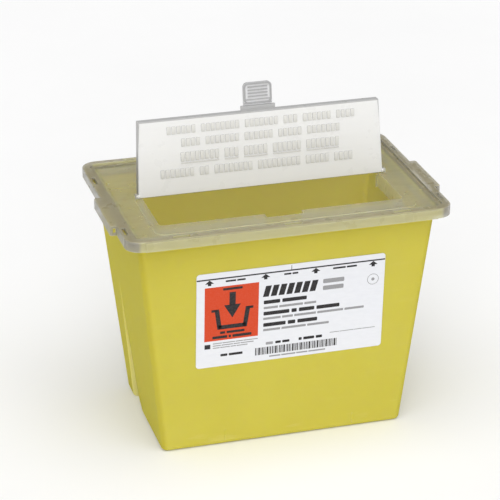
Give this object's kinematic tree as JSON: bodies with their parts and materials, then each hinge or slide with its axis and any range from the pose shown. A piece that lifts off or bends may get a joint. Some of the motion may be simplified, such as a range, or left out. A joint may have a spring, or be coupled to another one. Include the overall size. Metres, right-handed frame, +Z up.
{
  "type": "sharps container",
  "caption": "Tapered waste tub with a press-on lid, a long drop opening, a hinged closing flap with a folding lock tab, and a front label.",
  "frame": {"origin": "on the surface that the tub stands on, under the middle of the lid", "axes": "+Z up, +X to the right seen from the label side, -Y out of the label side"},
  "size_m": [0.2994, 0.196, 0.3073],
  "materials": {
    "tub_plastic": "satin, faintly translucent yellow polypropylene",
    "lid_plastic": "natural translucent polypropylene, satin",
    "flap_plastic": "natural translucent polypropylene, lightly frosted",
    "label_film": "white printed film, satin"
  },
  "bodies": {
    "container": {"tub": "tub_plastic", "lid_frame": "lid_plastic", "front_label": "label_film"},
    "flap": {"flap": "flap_plastic"},
    "lock_tab": {"lock_tab": "flap_plastic"}
  },
  "joints": [
    {"name": "flap_hinge", "type": "hinge", "parent": "container", "child": "flap", "pos_m": [0, 0.0015, 0.2178], "axis": [1, 0, 0], "range_deg": [0, 96.2]},
    {"name": "lock_tab_fold", "type": "hinge", "parent": "flap", "child": "lock_tab", "pos_m": [0, 0.01386, 0.28717], "axis": [1, 0, 0], "range_deg": [0, 90], "stiffness_Nm_per_rad": 0.004}
  ]
}
